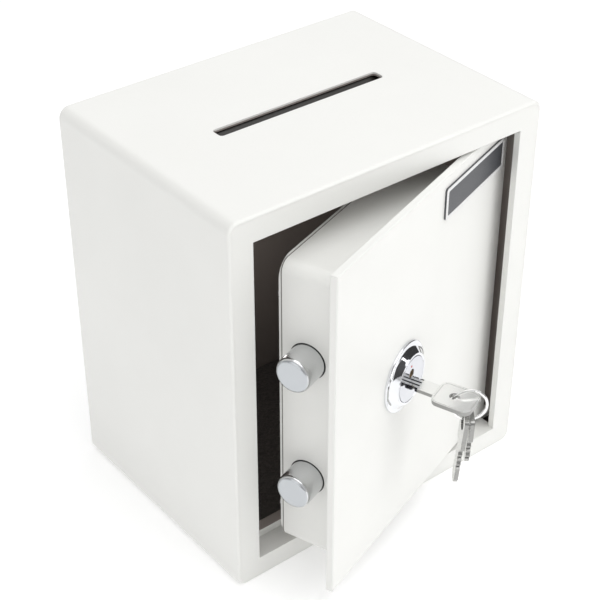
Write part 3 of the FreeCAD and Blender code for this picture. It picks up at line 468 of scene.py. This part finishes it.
def rounded_outline(width, height, radius, steps=6):
    """Rounded rectangle about the origin, as a list of 2-D points."""
    outline = []
    for turn, (sx, sy) in enumerate(((1, 1), (-1, 1), (-1, -1), (1, -1))):
        for step in range(steps + 1):
            angle = math.radians(90 * (turn + step / steps))
            outline.append((sx * (width / 2 - radius) + radius * math.cos(angle),
                            sy * (height / 2 - radius) + radius * math.sin(angle)))
    return outline


def loft(rings, around=False):
    """Points and faces of a skin over rings of equal length.

    around joins the last ring to the first; without it both ends are closed.
    """
    count = len(rings[0])
    points = [point for ring in rings for point in ring]
    faces = []
    last = len(rings) if around else len(rings) - 1
    for row in range(last):
        after = (row + 1) % len(rings)
        for k in range(count):
            step = (k + 1) % count
            faces.append((row * count + k, row * count + step, after * count + step,
                          after * count + k))
    if not around:
        faces.append(tuple(range(count)))
        faces.append(tuple((len(rings) - 1) * count + k for k in range(count)))
    return points, faces


def badge_plate():
    """Pale raised border and a sunk dark field on the blank badge."""
    width, height, plate = 65, 18, 1.0
    low, high = map(Vector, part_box("blank_badge"))
    face = (low + high) / 2 + OUT * plate / 2 * MM
    rings = []
    for inset, radius, lift in ((0, 1.5, 0), (0.2, 1.4, 0.25), (1.8, 1.2, 0.25), (2, 1.1, 0.02)):
        outline = rounded_outline((width - 2 * inset) * MM, (height - 2 * inset) * MM,
                                  radius * MM)
        rings.append([face + ALONG * x + UP * y + OUT * lift * MM for x, y in outline])
    points, faces = loft(rings, around=True)
    add_piece("badge_border", points, faces, "door",
              enamel("badge_white", (0.80, 0.80, 0.80), 0.25))


def plug_disc(name, radius, height, sunk, thick, look, sides=32):
    """Low disc with a sloping edge on the plug; sizes and the height above its centre in mm."""
    rings = []
    for share, lift in ((1, 0), (1, 0.7), (0.8, 1)):
        middle = LOCK_AT + KEY_UP * height * MM - OUT * (sunk - thick * lift) * MM
        rings.append([middle + (KEY_ACROSS * math.cos(angle) + KEY_UP * math.sin(angle))
                      * radius * share * MM
                      for angle in [math.tau * k / sides for k in range(sides)]])
    points, faces = loft(rings)
    add_piece(name, points, faces, "lock_cylinder", look)


def plug_details():
    """Brass bottom of the dimple and a red enamel dot, both on the lock plug."""
    dark_brass = plated("dark_brass", (0.20, 0.13, 0.06), (0.12, 0.08, 0.04), 0.3, 0.5,
                        (800, 800, 800))
    plug_disc("dimple_bottom", radius=2.45, height=3.8, sunk=1.5, thick=0.4,
              look=dark_brass)
    plug_disc("red_dot", radius=0.65, height=8.4, sunk=0, thick=0.08,
              look=enamel("red_enamel", (0.55, 0.02, 0.02), 0.3))


def key_bow_rims():
    """Low rounded rims round both flats of the bow of the key in the lock."""
    bow_across, bow_long, corner, half_thick = 17, 22, 4, 1.3
    bow_out, keyway_down = 25.2, 2.5
    middle = LOCK_AT + OUT * bow_out * MM - KEY_UP * keyway_down * MM
    for side, name in ((1, "key_bow_rim_top"), (-1, "key_bow_rim_bottom")):
        rings = []
        for inset, lift in ((0.5, 0), (0.6, 0.12), (1.2, 0.12), (1.3, 0)):
            outline = rounded_outline((bow_across - 2 * inset) * MM, (bow_long - 2 * inset) * MM,
                                      (corner - inset) * MM)
            rings.append([middle + KEY_ACROSS * x + OUT * y
                          + KEY_UP * side * (half_thick + lift) * MM for x, y in outline])
        points, faces = loft(rings, around=True)
        add_piece(name, points, faces, "key", own_look["lock_key"])


def split_ring():
    """Key ring of flat spring wire in two coils that cross over once."""
    low, high = map(Vector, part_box("key_ring"))
    centre = (low + high) / 2
    along = Vector(JOINTS["ring_swing"]["axis"]).normalized()
    normal = along.cross(UP)
    radius, coil_pitch = 9, 0.72
    wire_wide, wire_thick, wire_corner = 1.38, 0.66, 0.24
    cross_over = math.radians(24)
    first = math.radians(100)
    start, end = cross_over, 2 * math.tau - cross_over
    steps = 220
    outline = rounded_outline(wire_wide * MM, wire_thick * MM, wire_corner * MM, 3)
    rings = []
    for step in range(steps + 1):
        angle = start + (end - start) * step / steps
        ramp = min(max((angle - math.tau + cross_over) / (2 * cross_over), 0), 1)
        level = (ramp * ramp * (3 - 2 * ramp) - 0.5) * coil_pitch * MM
        radial = along * math.cos(angle + first) + UP * math.sin(angle + first)
        mid = centre + radial * radius * MM + normal * level
        rings.append([mid + radial * x + normal * y for x, y in outline])
    points, faces = loft(rings)
    ring = add_piece("split_key_ring", points, faces, "ring", RING_LOOK, smooth=True)
    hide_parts("key_ring")


def turned_piece(name, centre, axis, profile, body, look, sides=96):
    """Lathe piece: profile is a closed list of (height along axis, radius) in millimetres."""
    axis = axis.normalized()
    across = axis.cross(UP).normalized()
    other = axis.cross(across)
    rings = []
    for k in range(sides):
        angle = math.tau * k / sides
        radial = across * math.cos(angle) + other * math.sin(angle)
        rings.append([centre + axis * height * MM + radial * radius * MM
                      for height, radius in profile])
    points, faces = loft(rings, around=True)
    obj = add_piece(name, points, faces, body, look, smooth=True)
    crisp = obj.modifiers.new("crisp_edges", "EDGE_SPLIT")
    crisp.split_angle = math.radians(24)
    return obj


def arc(height, radius, size, start, end, steps=5):
    """Round stretch of a lathe profile about (height, radius), degrees from the axis."""
    angles = [math.radians(start + (end - start) * k / steps) for k in range(steps + 1)]
    return [(height + size * math.cos(angle), radius + size * math.sin(angle))
            for angle in angles]


def lock_rose():
    """Rose of the key lock with a rolled rim, a shallow flange, a steep cone and a turned lip.

    Its barrel goes through the door; heights are measured from the plug's face.
    """
    barrel_end, recess_floor, flange_back = -25.3, -3.3, -5.3
    bore, recess, barrel, rim = 9.1, 12.6, 12.5, 19.75
    profile = [(barrel_end, bore), (recess_floor, bore), (recess_floor, recess),
               (-0.45, recess), (0, 13.0)]
    profile += arc(-0.25, 14.0, 0.25, 0, 50, 3)
    profile += [(-2.75, 16.9), (-3.0, 17.3), (-3.55, 18.9)]
    profile += arc(-4.2, rim - 0.65, 0.65, 20, 90)
    profile += [(flange_back, rim), (flange_back, barrel), (barrel_end, barrel)]
    rose = turned_piece("lock_rose_turned", LOCK_AT, OUT, profile, "door",
                        TURNED_CHROME)
    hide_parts("lock_rose")


def bolt_bushes():
    """Thin dark bushes where the bolts leave the lock case."""
    look = moulded("dark_nylon", (0.03, 0.03, 0.03), (0.05, 0.05, 0.05), 0.5)
    bore, hole, rim = 9.72, 9.8, 10.08
    depth, seat, top, bevel = -1.0, 0.02, 0.18, 0.08
    profile = [(depth, bore), (top - bevel, bore), (top, bore + bevel), (top, rim - bevel),
               (top - bevel, rim), (seat, rim), (seat, hole), (depth, hole)]
    for place, height in BOLT_HEIGHTS.items():
        centre = on_door(LOCK_CASE_SIDE_X, DOOR_BACK_Y + BOLT_BEHIND_PLATE, height)
        turned_piece("bolt_bush_" + place, centre, -ALONG, profile, "door", look)


badge_plate()
plug_details()
key_bow_rims()
split_ring()
lock_rose()
bolt_bushes()


# ---------------------------------------------------------------- stage, light, camera
CAMERA_AT = (-0.4304, -0.5397, 0.5794)
CAMERA_AIM = Vector((0.51244, 0.64422, -0.56779))
CAMERA_LENS = 90.53
LIT_POINT = (0, 0, 0.11)
WHITE = (1, 1, 1, 1)


def stage_floor():
    """Pale floor that runs far enough to fill every view."""
    half = 6.0
    mesh = bpy.data.meshes.new("floor")
    mesh.from_pydata([(-half, -half, 0), (half, -half, 0), (half, half, 0), (-half, half, 0)],
                     [], [(0, 1, 2, 3)])
    floor = bpy.data.objects.new("floor", mesh)
    bpy.context.collection.objects.link(floor)
    mat, _, shader = new_material("pale_floor")
    shader.inputs["Base Color"].default_value = (0.92, 0.92, 0.92, 1)
    shader.inputs["Roughness"].default_value = 0.7
    shader.inputs["Specular IOR Level"].default_value = 0.2
    shader.inputs["Emission Color"].default_value = WHITE
    shader.inputs["Emission Strength"].default_value = 0.22
    mesh.materials.append(mat)


def mirror_card(name, azimuth_from, azimuth_to, low, high, glow, away=0.6):
    """Upright card round the lock that only mirrors see; azimuth 0 is straight in front."""
    steps = 8
    base = Vector((LOCK_AT.x, LOCK_AT.y, 0))
    points = []
    for step in range(steps + 1):
        angle = math.radians(azimuth_from + (azimuth_to - azimuth_from) * step / steps)
        foot = base + Vector((math.sin(angle), -math.cos(angle), 0)) * away
        points += [foot + UP * low, foot + UP * high]
    faces = [(2 * k, 2 * k + 2, 2 * k + 3, 2 * k + 1) for k in range(steps)]
    mesh = bpy.data.meshes.new(name)
    mesh.from_pydata([tuple(point) for point in points], [], faces)
    card = bpy.data.objects.new(name, mesh)
    bpy.context.collection.objects.link(card)
    mat, _, shader = new_material(name)
    shader.inputs["Base Color"].default_value = (0.004, 0.004, 0.004, 1)
    shader.inputs["Specular IOR Level"].default_value = 0
    shader.inputs["Emission Color"].default_value = WHITE
    shader.inputs["Emission Strength"].default_value = glow
    mesh.materials.append(mat)
    card.visible_camera = False
    card.visible_diffuse = False
    card.visible_shadow = False


def soft_light(name, place, width, power):
    """Square area light that looks at the safe."""
    data = bpy.data.lights.new(name, "AREA")
    data.shape = "SQUARE"
    data.size = width
    data.energy = power
    light = bpy.data.objects.new(name, data)
    light.location = place
    aim = Vector(LIT_POINT) - Vector(place)
    light.rotation_euler = aim.to_track_quat("-Z", "Y").to_euler()
    bpy.context.collection.objects.link(light)


def inside_glow():
    """Weak light between the lock case and the back wall, so that the inside reads dark brown."""
    data = bpy.data.lights.new("inside_glow", "POINT")
    data.energy = 0.045
    data.shadow_soft_size = 0.02
    data.color = (1.0, 0.97, 0.94)
    light = bpy.data.objects.new("inside_glow", data)
    light.location = (-0.02, 0.01, 0.13)
    bpy.context.collection.objects.link(light)


def camera():
    """Camera above the front left corner of the safe."""
    data = bpy.data.cameras.new("camera")
    data.sensor_width = 36
    data.lens = CAMERA_LENS
    data.clip_start = 0.01
    cam = bpy.data.objects.new("camera", data)
    cam.location = CAMERA_AT
    cam.rotation_euler = CAMERA_AIM.to_track_quat("-Z", "Y").to_euler()
    bpy.context.collection.objects.link(cam)
    bpy.context.scene.camera = cam


def white_world(strength):
    """Even white surroundings."""
    world = bpy.data.worlds.new("studio")
    world.use_nodes = True
    background = world.node_tree.nodes["Background"]
    background.inputs["Color"].default_value = WHITE
    background.inputs["Strength"].default_value = strength
    bpy.context.scene.world = world


stage_floor()
mirror_card("dark_card_right", 45, 100, low=0.02, high=0.40, glow=0.05)
mirror_card("dark_card_left", 4, 39, low=0.02, high=0.40, glow=0.07)
mirror_card("bright_card_back", 105, 180, low=0.45, high=1.6, glow=1.15, away=1.2)
soft_light("top_light", (0.1, -0.3, 1.6), width=1.6, power=13)
soft_light("front_light", (0.9, -1.5, 0.9), width=1.2, power=9)
soft_light("side_light", (-1.5, -0.4, 0.7), width=1.2, power=3.3)
inside_glow()
white_world(0.58)
bpy.context.scene.view_settings.view_transform = "Standard"
camera()
